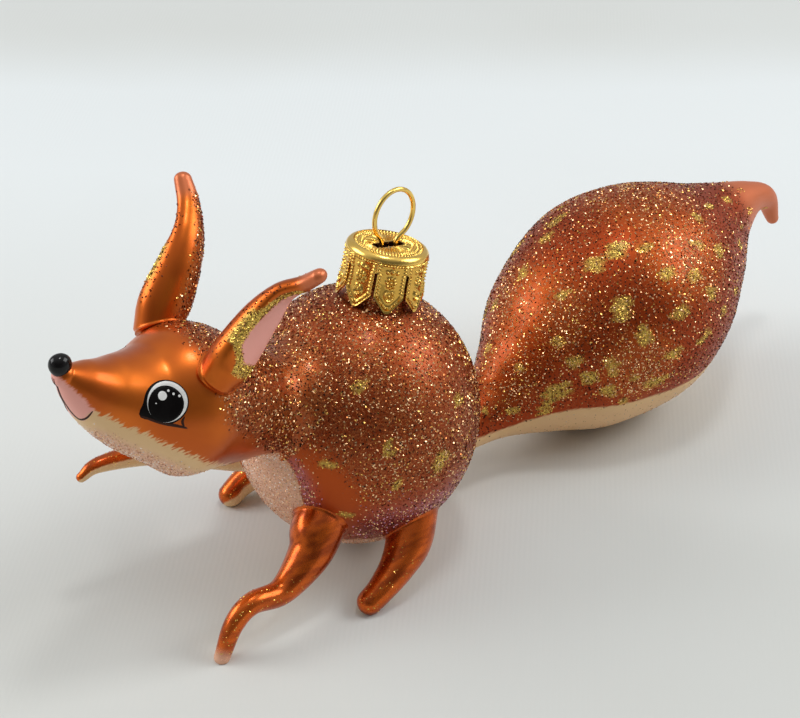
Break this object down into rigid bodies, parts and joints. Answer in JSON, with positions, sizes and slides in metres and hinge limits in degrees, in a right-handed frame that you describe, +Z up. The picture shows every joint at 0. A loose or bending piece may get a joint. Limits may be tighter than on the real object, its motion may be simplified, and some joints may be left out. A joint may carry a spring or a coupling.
{
  "type": "glass squirrel ornament",
  "caption": "Blown-glass squirrel ornament with upswept ears and a bulbous hooked tail; hangs by a wire loop in its crown cap, or stands on its feet and tail.",
  "frame": {"origin": "on the ground, halfway between the front of the nose and the back of the tail, in the squirrel's middle plane", "axes": "+Z up, -Y the way the squirrel faces, +X to the squirrel's left"},
  "size_m": [0.042, 0.1582, 0.0656],
  "materials": {
    "lacquered_glass": "satin copper-orange lacquer over silvered glass",
    "amber_glass": "glossy amber glass",
    "black_glass": "glossy black glass",
    "gilt_sheet": "bright gilt stamping",
    "gilt_wire": "bright gilt wire"
  },
  "bodies": {
    "glass": {"body_bulb": "lacquered_glass", "head_bulb": "lacquered_glass", "tail_bulb": "lacquered_glass", "ear_left": "lacquered_glass", "ear_right": "lacquered_glass", "front_leg_left": "amber_glass", "front_leg_right": "amber_glass", "hind_leg_left": "amber_glass", "hind_leg_right": "amber_glass", "nose_bead": "black_glass"},
    "cap": {"cap_crown": "gilt_sheet"},
    "hanger": {"hanger_wire": "gilt_wire"}
  },
  "joints": [
    {"name": "cap_turn", "type": "hinge", "parent": "glass", "child": "cap", "pos_m": [0, -0.01874, 0.04701], "axis": [0, 0.2334, 0.9724], "continuous": true},
    {"name": "loop_lift", "type": "slide", "parent": "cap", "child": "hanger", "axis": [0, 0.2334, 0.9724], "range_m": [0, 0.0032]}
  ]
}
